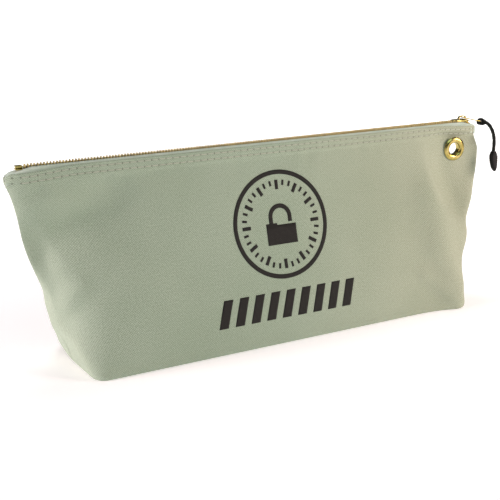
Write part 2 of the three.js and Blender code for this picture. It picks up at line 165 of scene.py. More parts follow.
# ---- material nodes ----
class Shader:
    """A material with a Principled shader and short calls that add nodes to it."""

    def __init__(self, name, color, roughness, metallic=0.0):
        self.material = bpy.data.materials.new(name)
        self.material.use_nodes = True
        self.tree = self.material.node_tree
        self.shader = self.tree.nodes["Principled BSDF"]
        self.shader.inputs["Base Color"].default_value = (*color, 1)
        self.shader.inputs["Roughness"].default_value = roughness
        self.shader.inputs["Metallic"].default_value = metallic

    def node(self, kind, **settings):
        made = self.tree.nodes.new(kind)
        for key, value in settings.items():
            setattr(made, key, value)
        return made

    def link(self, source, target):
        if isinstance(source, (int, float)):
            target.default_value = source
        elif isinstance(source, (tuple, list)):
            target.default_value = source
        else:
            self.tree.links.new(source, target)

    def math(self, operation, *values, clamp=False):
        made = self.node("ShaderNodeMath", operation=operation, use_clamp=clamp)
        for value, socket in zip(values, made.inputs):
            self.link(value, socket)
        return made.outputs[0]

    def times(self, a, b):
        return self.math("MULTIPLY", a, b)

    def plus(self, a, b):
        return self.math("ADD", a, b)

    def halved(self, wave):
        """A wave of -1 to 1, brought to 0 to 1."""
        return self.math("MULTIPLY_ADD", wave, 0.5, 0.5)

    def place(self, cloth=False):
        """Object coordinates, or the cloth's own: metres along its threads."""
        if cloth:
            return self.node("ShaderNodeUVMap", uv_map="cloth").outputs["UV"]
        return self.node("ShaderNodeTexCoord").outputs["Object"]

    def axes(self, vector):
        return self.node_out("ShaderNodeSeparateXYZ", vector)

    def node_out(self, kind, vector):
        made = self.node(kind)
        self.link(vector, made.inputs[0])
        return made.outputs

    def stretched(self, vector, scale):
        made = self.node("ShaderNodeMapping")
        made.inputs["Scale"].default_value = scale
        self.link(vector, made.inputs["Vector"])
        return made.outputs["Vector"]

    def noise(self, vector, scale, detail=3.0, roughness=0.5):
        made = self.node("ShaderNodeTexNoise")
        made.inputs["Scale"].default_value = scale
        made.inputs["Detail"].default_value = detail
        made.inputs["Roughness"].default_value = roughness
        self.link(vector, made.inputs["Vector"])
        return made.outputs["Fac"]

    def ramp(self, value, low, high, to_low=0.0, to_high=1.0):
        made = self.node("ShaderNodeMapRange", clamp=True)
        self.link(value, made.inputs["Value"])
        limits = zip(("From Min", "From Max", "To Min", "To Max"), (low, high, to_low, to_high))
        for name, number in limits:
            made.inputs[name].default_value = number
        return made.outputs["Result"]

    def mix(self, factor, a, b, blend="MIX"):
        made = self.node("ShaderNodeMix", data_type="RGBA", blend_type=blend)
        self.link(factor, made.inputs["Factor"])
        for value, socket in ((a, made.inputs["A"]), (b, made.inputs["B"])):
            self.link((*value, 1) if isinstance(value, tuple) else value, socket)
        return made.outputs["Result"]

    def colour(self, source):
        self.link(source, self.shader.inputs["Base Color"])

    def rough(self, source):
        self.link(source, self.shader.inputs["Roughness"])

    def relief(self, *layers):
        """Bump layers, each (height, depth in metres)."""
        normal = None
        for height, distance in layers:
            made = self.node("ShaderNodeBump")
            made.inputs["Strength"].default_value = 1.0
            made.inputs["Distance"].default_value = distance
            self.link(height, made.inputs["Height"])
            if normal:
                self.link(normal, made.inputs["Normal"])
            normal = made.outputs["Normal"]
        self.link(normal, self.shader.inputs["Normal"])

    def set(self, **values):
        for name, value in values.items():
            self.shader.inputs[name.replace("_", " ")].default_value = value
        return self


def weave_height(s, place, warp_gap, weft_gap):
    """Plain weave: bumps where a warp or a weft thread passes over, thread gaps in metres."""
    wavy = s.noise(place, 90, 2)
    along, up, _ = s.axes(place)
    shift = s.ramp(wavy, 0, 1, -0.00025, 0.00025)
    u = s.times(s.plus(along, shift), TURN / (2 * warp_gap))
    v = s.times(s.plus(up, shift), TURN / (2 * weft_gap))
    cross = s.times(s.math("SINE", u), s.math("SINE", v))
    return s.halved(cross)


# ---- materials ----
CANVAS_COOL = (0.36, 0.455, 0.345)
# The warm colour below is painted warm light for the right end, not the cloth's own colour.
CANVAS_PAINTED_WARM_LIGHT = (0.425, 0.47, 0.345)
YARN = 0.00094  # from one yarn to the next, in metres
STITCH_PITCH = 6.2
STITCH_LEVELS = (159.2, 154.6)
STITCH_REACH = 221


def hole_mask(s, cloth):
    """Needle holes along the hem's two rows of stitching, as a mask for painted shade and shallow
    pits.
    """
    along, up, _ = s.axes(cloth)
    part = s.math("FRACT", s.math("MULTIPLY_ADD", along, 1 / (STITCH_PITCH * MM), 0.5))
    near = s.times(s.math("SUBTRACT", part, 0.5), STITCH_PITCH * MM)
    masks = []
    for level in STITCH_LEVELS:
        rise = s.math("SUBTRACT", up, (level - HEM_TOP) * MM)
        across = s.times(rise, 1.25)
        reach = s.math("SQRT", s.plus(s.math("POWER", near, 2), s.math("POWER", across, 2)))
        masks.append(s.ramp(reach, 0.0003, 0.00105, 1, 0))
    return s.math("MAXIMUM", *masks)


def canvas_material():
    s = Shader("canvas", (0.42, 0.47, 0.36), 0.92)
    cloth = s.place(cloth=True)
    where = s.place()
    weave = weave_height(s, cloth, YARN, YARN)
    slub_along = s.noise(s.stretched(cloth, (70, 1100, 1)), 1.0, 2)
    slub_up = s.noise(s.stretched(cloth, (1100, 70, 1)), 1.0, 2)
    slubs = s.plus(slub_along, slub_up)
    fibre = s.noise(cloth, 2400, 2)
    patches = s.noise(where, 14, 3)
    x, y, z = s.axes(where)
    # Painted warm light: the canvas turns warmer from the middle towards the right end.
    base = s.mix(s.ramp(x, 0.0, 0.21), CANVAS_COOL, CANVAS_PAINTED_WARM_LIGHT)
    tone = s.mix(s.ramp(patches, 0.35, 0.65), (0.95, 0.96, 0.95), (1.04, 1.03, 1.04))
    base = s.mix(1.0, base, tone, "MULTIPLY")
    # Painted shade in the gaps between yarns and painted light on their crowns: the colour follows the
    # weave's height.
    threads = s.mix(s.ramp(weave, 0.1, 0.9), (0.70, 0.71, 0.69), (1.12, 1.12, 1.12))
    base = s.mix(1.0, base, threads, "MULTIPLY")
    streaks = s.mix(s.ramp(slubs, 0.75, 1.3), (0.975, 0.975, 0.975), (1.025, 1.025, 1.025))
    base = s.mix(1.0, base, streaks, "MULTIPLY")
    grain = s.noise(cloth, 780, 2.5, 0.6)
    grains = s.mix(s.ramp(grain, 0.3, 0.7), (0.80, 0.81, 0.79), (1.16, 1.15, 1.17))
    base = s.mix(1.0, base, grains, "MULTIPLY")
    seeds = s.node("ShaderNodeTexVoronoi", feature="F1")
    seeds.inputs["Scale"].default_value = 62
    s.link(cloth, seeds.inputs["Vector"])
    rare = s.math("LESS_THAN", s.axes(seeds.outputs["Color"])[0], 0.05)
    speck = s.times(s.ramp(seeds.outputs["Distance"], 0.02, 0.045, 1, 0), rare)
    base = s.mix(s.times(speck, 0.7), base, (0.17, 0.15, 0.09))
    holes = hole_mask(s, cloth)
    # Painted shade: the needle holes are coloured near black for the shade inside them; the holes are
    # not cut.
    base = s.mix(s.times(holes, 0.75), base, (0.075, 0.082, 0.06))
    s.colour(base)
    pit = s.times(holes, -1)
    s.relief((pit, 0.0004), (grain, 0.0002), (weave, 0.00016), (fibre, 0.00005))
    s.set(Sheen_Weight=0.1, Sheen_Roughness=0.6, Specular_IOR_Level=0.2)
    return s.material


def thread_material():
    s = Shader("thread", (0.46, 0.51, 0.41), 0.75)
    x, y, z = s.axes(s.place())
    turns = s.times(s.plus(x, s.times(z, 0.6)), TURN / 0.0009)
    twist = s.halved(s.math("SINE", turns))
    # Painted shade in the grooves between the plies and painted light on their crowns.
    s.colour(s.mix(twist, (0.36, 0.41, 0.32), (0.58, 0.63, 0.52)))
    s.relief((twist, 0.0001))
    s.set(Specular_IOR_Level=0.25, Sheen_Weight=0.1)
    return s.material


def tape_material():
    """Herringbone tape: slanted ribs that change direction at each stripe across its width."""
    s = Shader("zip_tape", (0.55, 0.64, 0.57), 0.85)
    where = s.place()
    x, y, z = s.axes(where)
    zigzag = s.math("PINGPONG", s.plus(y, z), 0.0011)
    rib = s.math("SINE", s.times(s.plus(x, zigzag), TURN / 0.0011))
    rib = s.halved(rib)
    cloudy = s.noise(where, 160, 3)
    # Painted shade in the grooves between the ribs and painted light on their crowns.
    base = s.mix(rib, (0.42, 0.55, 0.44), (0.64, 0.77, 0.66))
    s.colour(s.mix(s.ramp(cloudy, 0.4, 0.7, 0, 0.3), base, (0.74, 0.80, 0.75)))
    s.relief((rib, 0.00018), (s.noise(where, 1800, 2), 0.00004))
    s.set(Specular_IOR_Level=0.25, Sheen_Weight=0.15)
    return s.material


def tooth_brass_painted_shade():
    """Stamped teeth: painted shade darkens them towards the tape, their tops lighter, with random worn
    spots.
    """
    s = Shader("zip_brass", (0.42, 0.33, 0.13), 0.38, 1.0)
    where = s.place()
    x, y, z = s.axes(where)
    # Painted shade: the teeth go near black low down, where they meet the tape and each other.
    unshaded_top = s.ramp(z, 0.1622, 0.1640)
    spots = s.noise(where, 420, 3)
    worn = s.times(unshaded_top, s.ramp(spots, 0.35, 0.6, 0.55, 1))
    s.colour(s.mix(worn, (0.09, 0.078, 0.024), (0.70, 0.60, 0.28)))
    s.rough(s.ramp(spots, 0.3, 0.7, 0.28, 0.5))
    s.relief((s.noise(where, 1500, 2), 0.00004))
    return s.material


def bright_brass():
    s = Shader("bright_brass", (0.68, 0.56, 0.22), 0.22, 1.0)
    where = s.place()
    smear = s.noise(where, 130, 4)
    brushed = s.noise(s.stretched(where, (180, 2600, 2600)), 1.0, 3)
    s.colour(s.mix(s.ramp(smear, 0.35, 0.65), (0.34, 0.29, 0.07), (0.58, 0.49, 0.18)))
    s.rough(s.plus(s.ramp(smear, 0.3, 0.7, 0.16, 0.24), s.ramp(brushed, 0.3, 0.7, 0, 0.08)))
    s.relief((brushed, 0.00002))
    return s.material


def cord_material():
    s = Shader("pull_cord", (0.018, 0.019, 0.018), 0.7)
    where = s.place()
    x, y, z = s.axes(where)
    one = s.math("SINE", s.times(s.plus(z, s.times(x, 0.9)), 5200))
    two = s.math("SINE", s.times(s.math("SUBTRACT", z, s.times(x, 0.9)), 5200))
    braid = s.halved(s.times(one, two))
    # Painted shade between the strands and painted light on their crowns.
    s.colour(s.mix(braid, (0.003, 0.004, 0.003), (0.018, 0.020, 0.017)))
    s.relief((braid, 0.0003), (s.noise(where, 2600, 2), 0.00006))
    s.set(Specular_IOR_Level=0.18)
    return s.material


def rubber_material():
    s = Shader("grip", (0.012, 0.013, 0.013), 0.45)
    where = s.place()
    grain = s.noise(where, 1400, 3)
    scuffs = s.noise(where, 260, 4)
    s.colour(s.mix(s.ramp(scuffs, 0.5, 0.75), (0.003, 0.004, 0.004), (0.010, 0.011, 0.010)))
    s.rough(s.ramp(grain, 0.3, 0.7, 0.36, 0.55))
    s.relief((grain, 0.00006))
    s.set(Specular_IOR_Level=0.16)
    return s.material


def ink_material():
    """Screen ink soaked into the weave: the deep gaps between yarns stay a little lighter."""
    s = Shader("print_ink", (0.022, 0.022, 0.02), 0.8)
    cloth = s.place(cloth=True)
    weave = weave_height(s, cloth, YARN, YARN)
    worn = s.times(s.ramp(weave, 0.0, 0.18, 1, 0), s.ramp(s.noise(cloth, 300, 2), 0.45, 0.7))
    s.colour(s.mix(s.times(worn, 0.5), (0.020, 0.020, 0.018), (0.12, 0.13, 0.10)))
    s.relief((weave, 0.00014))
    s.set(Specular_IOR_Level=0.2)
    return s.material


def floor_material():
    s = Shader("floor", (0.93, 0.93, 0.93), 0.7)
    s.colour(s.mix(s.noise(s.place(), 0.8, 2), (0.92, 0.92, 0.92), (0.95, 0.95, 0.95)))
    s.set(Specular_IOR_Level=0.1, Emission_Color=(1, 1, 1, 1), Emission_Strength=0.28)
    return s.material


canvas = canvas_material()
thread = thread_material()
tape_cloth = tape_material()
tooth_brass = tooth_brass_painted_shade()
brass = bright_brass()
black_cord = cord_material()
rubber = rubber_material()
ink = ink_material()


# ---- camera, floor and light ----
def add_camera():
    azimuth, elevation, distance = math.radians(-30.42), math.radians(15.88), 0.9024
    aim = Vector((-0.0181, 0, 0.0707))
    back = Vector((
        math.sin(azimuth) * math.cos(elevation),
        -math.cos(azimuth) * math.cos(elevation),
        math.sin(elevation),
    ))
    data = bpy.data.cameras.new("camera")
    data.lens = 76.04
    data.sensor_width = 36
    camera = bpy.data.objects.new("camera", data)
    camera.location = aim + back * distance
    camera.rotation_euler = (-back).to_track_quat("-Z", "Y").to_euler()
    bpy.context.scene.collection.objects.link(camera)
    bpy.context.scene.camera = camera


BAG_AIM = (0, 0, 0.08)


def add_light(name, place, aim, size, power, color):
    data = bpy.data.lights.new(name, "AREA")
    data.shape = "DISK"
    data.size = size
    data.energy = power
    data.color = color
    light = bpy.data.objects.new(name, data)
    light.location = place
    ahead = Vector(aim) - Vector(place)
    light.rotation_euler = ahead.to_track_quat("-Z", "Y").to_euler()
    bpy.context.scene.collection.objects.link(light)
    return data


def add_surroundings():
    half = 20000
    corners = [(-half, -half, 0), (half, -half, 0), (half, half, 0), (-half, half, 0)]
    floor = make_object("floor", corners, [(0, 1, 2, 3)], floor_material(), False)
    world = bpy.data.worlds.new("studio")
    world.use_nodes = True
    background = world.node_tree.nodes["Background"]
    background.inputs["Color"].default_value = (1, 1, 1, 1)
    background.inputs["Strength"].default_value = 0.06
    bpy.context.scene.world = world
    add_light("key_left", (-1.4, 0.15, 0.35), BAG_AIM, 0.7, 24, (1.0, 0.80, 0.83))
    add_light("warm_front", (0.9, -0.8, 0.5), BAG_AIM, 0.6, 13.5, (1.0, 0.78, 0.74))
    add_light("soft_front", (-0.1, -1.3, 1.3), BAG_AIM, 1.0, 3.5, (0.7, 1.0, 0.94))
    backdrop = add_light("backdrop", (1.8, 3.1, 2.4), (1.8, 3.1, 0.0), 6, 170, (1, 1, 1))
    backdrop.spread = math.radians(76)
    view = bpy.context.scene.view_settings
    view.view_transform = "Standard"
    view.look = "None"


# ---- tubes, for cords and threads ----
def frames_along(points):
    """Two crossing directions at each point of a line, without twist."""
    points = np.asarray(points, float)
    ahead = np.gradient(points, axis=0)
    ahead /= np.linalg.norm(ahead, axis=1)[:, None]
    side = np.cross(ahead[0], (0, 0, 1))
    if np.linalg.norm(side) < 0.2:
        side = np.cross(ahead[0], (0, 1, 0))
    sides = []
    for direction in ahead:
        side = side - direction * side.dot(direction)
        side /= np.linalg.norm(side)
        sides.append(side)
    sides = np.array(sides)
    return sides, np.cross(ahead, sides)


def tube(points, section, around=14):
    """Vertices and faces of a tube; section(part, angle) gives its radius."""
    points = np.asarray(points, float)
    count = len(points)
    sides, ups = frames_along(points)
    vertices = []
    for i in range(count):
        for k in range(around):
            angle = TURN * k / around
            reach = section(i / (count - 1), angle)
            way = math.cos(angle) * sides[i] + math.sin(angle) * ups[i]
            vertices.append(points[i] + reach * way)
    return vertices, rod_faces(count, around)


def spline(points, count):
    """A smooth line through points, evenly spaced."""
    points = np.asarray(points, float)
    padded = np.vstack([2 * points[0] - points[1], points, 2 * points[-1] - points[-2]])
    line = []
    for i in range(1, len(padded) - 2):
        p0, p1, p2, p3 = padded[i - 1 : i + 3]
        for t in np.linspace(0, 1, 40, endpoint=False):
            line.append(0.5 * (
                2 * p1 + (p2 - p0) * t + (2 * p0 - 5 * p1 + 4 * p2 - p3) * t**2
                + (3 * p1 - 3 * p2 + p3 - p0) * t**3
            ))
    line.append(padded[-2])
    line = np.array(line)
    run = np.concatenate([[0], np.cumsum(np.linalg.norm(np.diff(line, axis=0), axis=1))])
    even = np.linspace(0, run[-1], count)
    return np.stack([np.interp(even, run, line[:, k]) for k in range(3)], axis=1), run[-1]


# ---- the cord and its grip ----
def cord_section(part, angle):
    """Two plies twisted round each other."""
    turns = 5.5
    ply = abs(math.cos(angle - turns * TURN / 2 * part))
    return CORD_DIAMETER / 2 * (0.95 + 0.12 * ply)


def add_cord():
    line, length = spline(CORD_ROUTE, 72)
    vertices, faces = tube(line, cord_section)
    cord = make_object("cord_line", vertices, faces, black_cord)
    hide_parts("pull_cord")
    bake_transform(cord)
    return cord, line, length


def grip_outline():
    """The grip's half widths to the left and right of its middle at levels below its top."""
    levels = [-1.4, -0.4, 2.2, 4, 6, 9, 12, 14.5, 16.3, 17.4, 17.9]
    left = [-2.0, -2.7, -4.0, -4.0, -3.6, -3.0, -1.9, -0.7, 0.5, 1.4, 2.1]
    right = [1.9, 2.6, 4.2, 4.6, 4.6, 4.6, 4.5, 4.3, 3.9, 3.3, 2.5]
    return levels, left, right


def add_grip():
    """Moulded grip: a rounded blade with a collar and raised ribs across its faces."""
    levels, left, right = grip_outline()
    fine = np.concatenate([[-1.4, -1.0], np.linspace(-0.4, 17.4, 44), [17.7, 17.9]])
    around = 28
    vertices = []
    for level in fine:
        low, high = np.interp(level, levels, left), np.interp(level, levels, right)
        middle, half = (low + high) / 2, (high - low) / 2
        thick = 2.5 * math.sqrt(max(0.0, min(1.0, half / 2.6)))
        rib = 0.28 * (0.5 + 0.5 * math.cos(TURN * (level - 3.2) / 2.1)) if 3 < level < 14 else 0
        for k in range(around):
            angle = TURN * k / around
            cosine, sine = math.cos(angle), math.sin(angle)
            power = 0.62
            x = half * math.copysign(abs(cosine) ** power, cosine)
            y = (thick - 0.25 + rib) * math.copysign(abs(sine) ** power, sine)
            vertices.append((GRIP_TOP[0] + middle + x, GRIP_TOP[1] + y, GRIP_TOP[2] - level))
    grip = make_object("moulded_grip", vertices, rod_faces(len(fine), around), rubber)
    return piece(grip, "cord_grip", "grip", "cord_grip")


def along_tab(distance, across, above):
    """A point of the hanging tab, in the bag's frame."""
    return (
        PULL_PIVOT[0] + distance * math.cos(TAB_SLOPE) + above * math.sin(TAB_SLOPE),
        across,
        PULL_PIVOT[1] - distance * math.sin(TAB_SLOPE) + above * math.cos(TAB_SLOPE),
    )


def ring_points(centre, first, second, radius_first, radius_second, count=36):
    """Points of an oval about centre, in the plane of two directions."""
    centre, first, second = np.array(centre), np.array(first), np.array(second)
    angles = np.linspace(0, TURN, count, endpoint=False)
    return np.array([
        centre + first * radius_first * math.cos(a) + second * radius_second * math.sin(a)
        for a in angles
    ])


def closed_tube(points, radius, strands=0):
    """A ring-shaped tube; its frame turns with the ring so that the ends meet."""
    points = np.asarray(points, float)
    count, around = len(points), 12
    centre = points.mean(axis=0)
    ahead = np.roll(points, -1, axis=0) - np.roll(points, 1, axis=0)
    ahead /= np.linalg.norm(ahead, axis=1)[:, None]
    outward = points - centre
    outward -= ahead * np.sum(outward * ahead, axis=1)[:, None]
    outward /= np.linalg.norm(outward, axis=1)[:, None]
    up = np.cross(ahead, outward)
    vertices = []
    for i in range(count):
        for k in range(around):
            angle = TURN * k / around
            ply = abs(math.cos(angle - math.pi * strands * i / count)) if strands else 1
            reach = radius * (0.84 + 0.16 * ply)
            way = math.cos(angle) * outward[i] + math.sin(angle) * up[i]
            vertices.append(points[i] + reach * way)
    return vertices, grid_faces(count, around, close_rows=True, close_columns=True)


def merged(shapes):
    """Several (vertices, faces) as one."""
    vertices, faces = [], []
    for more, cells in shapes:
        start = len(vertices)
        vertices.extend(np.asarray(more, float).tolist())
        faces.extend([tuple(start + i for i in cell) for cell in cells])
    return vertices, faces


def add_hitch(line):
    """The cord's two turns through the tab's eye and round its tip, drawn tight by a collar."""
    centre = np.array(along_tab(24.6, 0, 0))
    ahead = np.array(along_tab(1, 0, 0)) - np.array(along_tab(0, 0, 0))
    up = np.array(along_tab(0, 0, 1)) - np.array(along_tab(0, 0, 0))
    shapes = []
    for across, lean in ((-1.15, 0.35), (1.15, -0.35)):
        spot = centre + np.array((0, across, 0))
        tilt = up + np.array((0, lean, 0))
        loop = ring_points(spot, ahead, tilt / np.linalg.norm(tilt), 2.7, 2.5)
        shapes.append(closed_tube(loop, 1.25, strands=6))
    direction = line[6] - line[0]
    direction /= np.linalg.norm(direction)
    first = np.cross(direction, (0, 0, 1))
    first /= np.linalg.norm(first)
    collar = ring_points(line[0] + direction * 0.6, first, np.cross(direction, first), 1.7, 1.7, 28)
    shapes.append(closed_tube(collar, 1.05, strands=5))
    hitch = make_object("hitch_loops", *merged(shapes), black_cord)
    return piece(hitch, "pull_tab", "pull_cord", "cord_hitch")


add_camera()
add_surroundings()
cord, cord_line, cord_length = add_cord()
grip = add_grip()
hitch = add_hitch(cord_line)


# ---- the cloth surface ----
GROMMET_PINCH = 1.5
MID_GAP = 0.12
BOWS = (
    [(4, 88, 28), (6.5, 38, 22)],
    [(9, 116, 27), (6.5, 90, 16), (12.5, 56, 28), (-5, 9, 13)],
)
LEAN = (BASE_DEPTH / 2 - MOUTH_DEPTH / 2) / SLOPE_TOP
LEFT, RIGHT = -1, 1
FRONT, BACK = -1, 1
FOOT_RADIUS = {(FRONT, LEFT): 10, (FRONT, RIGHT): 7, (BACK, LEFT): 17, (BACK, RIGHT): 9}


def half_length(z):
    return lerp(BASE_LENGTH / 2, TOP_LENGTH / 2, np.clip(z / SEAM_LEVEL, 0, 1))


def half_depth(z):
    return np.maximum(BASE_DEPTH / 2 - LEAN * np.clip(z, 0, None), MOUTH_DEPTH / 2)


def pinch_at(x, z):
    """How far the grommet draws the two panels together."""
    across = (x - GROMMET[0]) * np.where(x > GROMMET[0], 0.5, 1)
    rise = (z - GROMMET[1]) * np.where(z < GROMMET[1], 0.6, 1)
    past = np.maximum(np.hypot(across, rise) - 11.5, 0)
    return np.exp(-((past / 22) ** 2)) * (1 - smooth(150.5, 160, z))


def swing_at(x, z):
    """How far forward of the mouth's line both panels stand."""
    right = 6 * smooth(150, 226, x) * smooth(40, 122, z) * (1 - smooth(140, 157, z))
    return right - 7 * smooth(90, 190, -np.asarray(x)) * bump(108, 22, z)


def end_taper(x, z):
    """Above the gussets the panels close towards the side seams, so the ends come to an edge."""
    reach = np.abs(x)
    length = lerp(64, 24, smooth(112, 156, z))
    t = np.clip((half_length(z) - reach) / length, 0, 1)
    closing = 0.17 + 0.83 * (1 - (1 - t) ** 2) ** 0.8
    amount = np.where(x < 0, smooth(20, 104, z), smooth(122, 154, z))
    return 1 - amount * (1 - closing)


def bow_at(x, z):
    """How far the ends stand out past the plain form's straight slopes."""
    left, right = (sum(far * bump(level, height, z) for far, level, height in rows) for rows in BOWS)
    left = left * smooth(120, 200, -x)
    right = right * smooth(120, 200, x) * (1 - smooth(138, 160, z))
    return right - 1.2 * smooth(150, 157, z) * smooth(200, 225, x) - left


def droop_at(x, z):
    reach = np.abs(x)
    return (3.2 * smooth(170, 222, reach) + 2.4 * smooth(223, 228.5, reach)) * smooth(120, HEM_TOP, z)


def fold_radius(side, end, z):
    """The folds at the ends are crisp at the foot and the mouth, and soft between."""
    foot = np.where(end < 0, FOOT_RADIUS[side, LEFT], FOOT_RADIUS[side, RIGHT])
    soft = np.where(end < 0, 36, 15)
    low = foot + (soft - foot) * smooth(0, 42, z)
    radius = low + (5.5 - low) * smooth(70, 142, z)
    return np.minimum(radius, half_depth(z) - 0.8)


def reach_at(s, z, side):
    """How far along the cloth the side seam is from the middle."""
    r = fold_radius(side, np.sign(s), z)
    return half_length(z) - r + r * math.pi / 2 + half_depth(z) - r


def plain_form(s, z, side):
    """A point of the plain tapered form, s along the cloth from its middle, and its outward way."""
    end = np.where(s < 0, -1.0, 1.0)
    a, b = half_length(z), half_depth(z)
    r = fold_radius(side, end, z)
    run = np.abs(s)
    angle = np.clip((run - (a - r)) / r, 0, math.pi / 2)
    past = np.maximum(run - (a - r) - r * math.pi / 2, 0)
    x = np.where(run < a - r, run, a - r + r * np.sin(angle))
    y = b - r + r * np.cos(angle) - past
    return end * x, side * y, end * np.sin(angle), side * np.cos(angle)


def crease(x, z, points, width, height):
    """A hill (or a groove, for a negative height) along a line of [x, z] points."""
    best = np.full(np.shape(x), 1e9)
    for (x0, z0), (x1, z1) in zip(points[:-1], points[1:]):
        dx, dz = x1 - x0, z1 - z0
        t = np.clip(((x - x0) * dx + (z - z0) * dz) / (dx * dx + dz * dz), 0, 1)
        best = np.minimum(best, np.hypot(x - x0 - t * dx, z - z0 - t * dz))
    return height * np.exp(-((best / width) ** 2))


def waves(s, z, seed):
    """Gentle unevenness of stiff cloth."""
    source = random.Random(seed)
    total = np.zeros(np.shape(s))
    for _ in range(9):
        length = source.uniform(70, 210)
        heading = source.uniform(-1.1, 1.1)
        phase = source.uniform(0, TURN)
        total = total + np.sin(TURN * (s * math.cos(heading) + z * math.sin(heading)) / length + phase)
    return 0.22 * total * (1 - smooth(135, 150, z)) * smooth(0, 25, z)


def ripples(s, z, seed):
    """Fine puckers under the hem's stitching."""
    source = random.Random(seed)
    total = np.zeros(np.shape(s))
    for _ in range(7):
        length = source.uniform(14, 34)
        phase = source.uniform(0, TURN)
        total = total + np.sin(TURN * s / length + phase)
    return 0.1 * total * np.exp(-(((z - 150) / 7) ** 2))


# Each crease: the [x, level] line, its half width and its height.
FRONT_CREASES = (
    ([(-236, 86), (-207, 101), (-150, 132)], 19, -11),
    ([(-206, 78), (-180, 98), (-138, 118)], 13, 2.6),
    ([(-216, 90), (-192, 106), (-164, 126)], 8, -2.8),
    ([(-226, 137), (-204, 146)], 4.5, -2.4),
    ([(-180, 71), (-190, 61), (-199, 50)], 6, 2.2),
    ([(-172, 62), (-192, 42)], 8, -1.3),
    ([(160, 100), (163, 84), (167, 56), (178, 22)], 18, 5.4),
    ([(194, 108), (198, 92), (206, 78)], 11, -5),
    ([(192, 82), (206, 71)], 3.2, -1.6),
    ([(177, 3), (160, 18), (143, 33)], 7, 2.0),
    ([(178, 4), (160, 60)], 14, 1.2),
)


def front_relief(x, z):
    rise = sum(crease(x, z, *row) for row in FRONT_CREASES)
    swell = 3.4 * bump(172, 22, x) * (1 - smooth(0, 46, z))
    roll = -4.0 * np.clip((-x - 112) / 78, 0, 1.1) ** 2 * smooth(6, 34, z) * (1 - smooth(72, 108, z))
    turn = -4.0 * np.clip((x - 160) / 34, 0, 1.1) ** 2 * smooth(6, 30, z) * (1 - smooth(96, 124, z))
    swell = swell + roll + turn
    belly = -1.6 * bump(-10, 120, x) * np.sin(math.pi * np.clip(z / 150, 0, 1))
    return rise + swell + belly


BACK_CREASES = (
    ([(-222, 100), (-198, 112), (-168, 134)], 12, -3.6),
    ([(-174, 70), (-200, 54)], 9, 2.2),
    ([(176, 120), (180, 66), (186, 30)], 13, 2.4),
    ([(196, 124), (204, 84)], 9, -3.2),
    ([(60, 20), (120, 90), (150, 142)], 26, 1.4),
)


def back_relief(x, z):
    rise = sum(crease(x, z, *row) for row in BACK_CREASES)
    return rise - 1.8 * bump(20, 130, x) * np.sin(math.pi * np.clip(z / 150, 0, 1))


def relief(x, s, z, side):
    """How far the cloth stands out from the plain form, in millimetres."""
    own = front_relief(x, z) if side == FRONT else back_relief(x, z)
    rest = reach_at(s, z, side) - np.abs(s)
    own = (own + waves(s, z, 5 if side == FRONT else 9)) * smooth(0, 22, rest)
    own = own * (1 - smooth(146, 152, z) * 0.95)
    seam = -1.1 * np.exp(-((rest / 2.6) ** 2)) * smooth(6, 20, z) * (1 - smooth(58, 76, z))
    hollow = -1.2 * smooth(0, 30, z) * (1 - smooth(50, 80, z)) * np.exp(-((rest / 24) ** 2))
    hem = 0.35 * smooth(151.6, 152.6, z)
    rows = sum(-0.42 * np.exp(-(((z - level) / 0.75) ** 2)) for level in STITCH_LEVELS)
    return own + seam + hollow + hem + rows + ripples(s, z, 21 if side == FRONT else 22)


def cloth(s, z, side, out=0.0):
    """A point of one panel, s along the cloth and out from its face."""
    s, z = np.broadcast_arrays(np.asarray(s, float), np.asarray(z, float))
    x, y, nx, ny = plain_form(s, z, side)
    taper = end_taper(x, z)
    x = x + bow_at(x, z)
    squeeze = pinch_at(x, z)
    room = 0.8 * half_depth(z) * taper
    off = relief(x, s, z, side) * (1 - squeeze)
    off = np.where(off < 0, room * np.expm1(np.minimum(off, 0) / room), off) + out
    narrow = 1 - squeeze * (1 - GROMMET_PINCH / half_depth(z))
    y = y * np.minimum(taper, lerp(1, narrow, smooth(0, 0.4, squeeze)))
    lift = 9 * np.exp(-(((x + 181) ** 2 + (y - 46) ** 2) / 24**2)) * (1 - smooth(0, 46, z))
    px = x + nx * off
    py = y + ny * off
    gap = 0.5 * (side * py + np.sqrt(py * py + (2 * MID_GAP) ** 2))
    return np.stack([px, side * gap - swing_at(x, z), z - droop_at(x, z) + lift], axis=-1)


# ---- panels ----
def panel_profile():
    """Pairs of [level, out] on the panel's outer and inner face, from the foot to the hem's top."""
    foot = [
        ((FOOT_LEVEL, -3.6), (1.0, -3.6)), ((FOOT_LEVEL, -2.6), (1.0, -2.6)),
        ((0.3, -1.5), (1.25, -1.9)),
        ((0.8, -0.7), (1.7, -1.35)), ((1.6, -0.22), (2.3, -1.02)), ((2.8, 0), (3.2, -CANVAS)),
    ]
    wall = [((z, 0), (z, -CANVAS)) for z in np.linspace(5, 148, 54)]
    under = [((z, 0), (z, -CANVAS)) for z in (149.4, 150.6, 151.5, 152.15)]
    hem = [((z, 0), (z, -2 * CANVAS)) for z in (152.25, *np.arange(152.9, 161.2, 0.7))]
    lip = [((161.75, -0.12), (161.75, -1.68)), ((162.1, -0.48), (162.1, -1.32))]
    return foot + wall + under + hem + lip, (HEM_TOP, -0.9)


def columns(z, side):
    """Stations along the cloth at one level, from the left seam to the right one."""
    stations = []
    for end in (LEFT, RIGHT):
        r = float(fold_radius(side, end, z))
        straight = float(half_length(z)) - r
        arc = r * math.pi / 2
        seam = float(reach_at(end, z, side)) - 0.15
        outer = np.concatenate([
            np.linspace(seam, straight + arc, 9)[:-1],
            np.linspace(straight + arc, straight, 11),
        ])
        stations.append(end * outer)
    middle = np.linspace(-1, 1, 270)[1:-1]
    inner = lerp(stations[0][-1], stations[1][-1], (middle + 1) / 2)
    return np.concatenate([stations[0], inner, stations[1][::-1]])


